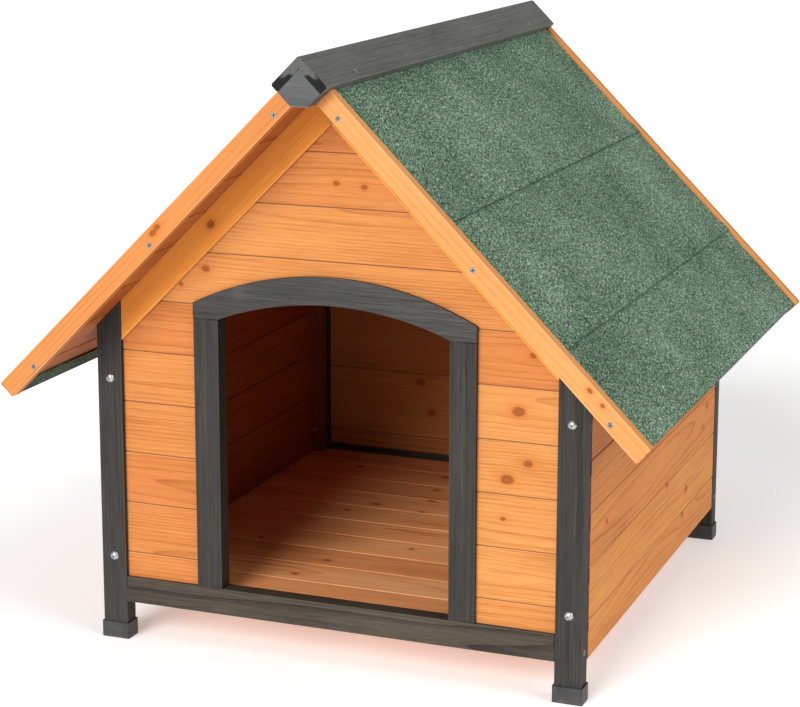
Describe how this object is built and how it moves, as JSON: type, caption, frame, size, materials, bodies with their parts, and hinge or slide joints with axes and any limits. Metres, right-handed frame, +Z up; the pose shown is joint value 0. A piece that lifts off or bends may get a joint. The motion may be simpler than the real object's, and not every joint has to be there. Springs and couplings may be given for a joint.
{
  "type": "dog house",
  "caption": "Timber dog house with a steep saddle roof in green felt, honey-stained boards, dark grey frame, arched doorway and a loose board floor.",
  "frame": {"origin": "centre of the overall box at the bottom of the foot caps", "axes": "+Z up, the doorway looks along -Y, X runs across the front and the house is symmetric about X = 0"},
  "size_m": [0.8786, 0.912, 0.8138],
  "materials": {
    "honey_boards": "satin honey stain, visible grain and knots",
    "honey_trim": "satin honey stain, straight grain",
    "honey_inner": "satin honey stain, less gloss",
    "grey_timber": "matt dark grey stain over visible grain",
    "green_felt": "matt green mineral granules on roofing felt",
    "black_plastic": "matt moulded black",
    "zinc_fasteners": "bright zinc"
  },
  "bodies": {
    "house": {"barge_board_front_left": "honey_trim", "barge_board_front_right": "honey_trim", "barge_board_rear_left": "honey_trim", "barge_board_rear_right": "honey_trim", "barge_screws": "zinc_fasteners", "bolt_nuts": "zinc_fasteners", "corner_batten_front_left": "honey_inner", "corner_batten_front_right": "honey_inner", "corner_batten_rear_left": "honey_inner", "corner_batten_rear_right": "honey_inner", "door_header": "grey_timber", "door_jamb_left": "grey_timber", "door_jamb_right": "grey_timber", "felt_eave_left": "green_felt", "felt_eave_right": "green_felt", "felt_middle_left": "green_felt", "felt_middle_right": "green_felt", "felt_upper_left": "green_felt", "felt_upper_right": "green_felt", "floor_ledger_left": "honey_inner", "floor_ledger_right": "honey_inner", "foot_cap_front_left": "black_plastic", "foot_cap_front_right": "black_plastic", "foot_cap_rear_left": "black_plastic", "foot_cap_rear_right": "black_plastic", "front_boards_left": "honey_boards", "front_boards_right": "honey_boards", "gable_board_arched": "honey_boards", "gable_board_upper_1": "honey_boards", "gable_board_upper_2": "honey_boards", "gable_board_upper_3": "honey_boards", "post_bolts": "zinc_fasteners", "post_front_left": "grey_timber", "post_front_right": "grey_timber", "post_rear_left": "grey_timber", "post_rear_right": "grey_timber", "rafter_front_left": "honey_trim", "rafter_front_right": "honey_trim", "rafter_rear_left": "honey_trim", "rafter_rear_right": "honey_trim", "rail_front": "grey_timber", "rail_rear": "grey_timber", "rail_screws": "zinc_fasteners", "rear_boards": "honey_boards", "ridge_block_front": "grey_timber", "ridge_block_rear": "grey_timber", "ridge_board_left": "grey_timber", "ridge_board_right": "grey_timber", "ridge_screws": "zinc_fasteners", "roof_battens_left": "honey_inner", "roof_battens_right": "honey_inner", "roof_deck_left": "honey_inner", "roof_deck_right": "honey_inner", "roof_screws": "zinc_fasteners", "side_boards_left": "honey_boards", "side_boards_right": "honey_boards"},
    "floor": {"floor_boards": "honey_inner", "floor_board_front": "honey_inner", "floor_board_rear": "honey_inner", "floor_battens": "honey_inner"}
  },
  "joints": [
    {"name": "floor_lift", "type": "slide", "parent": "house", "child": "floor", "axis": [0, 0, 1], "range_m": [0, 0.25]}
  ]
}
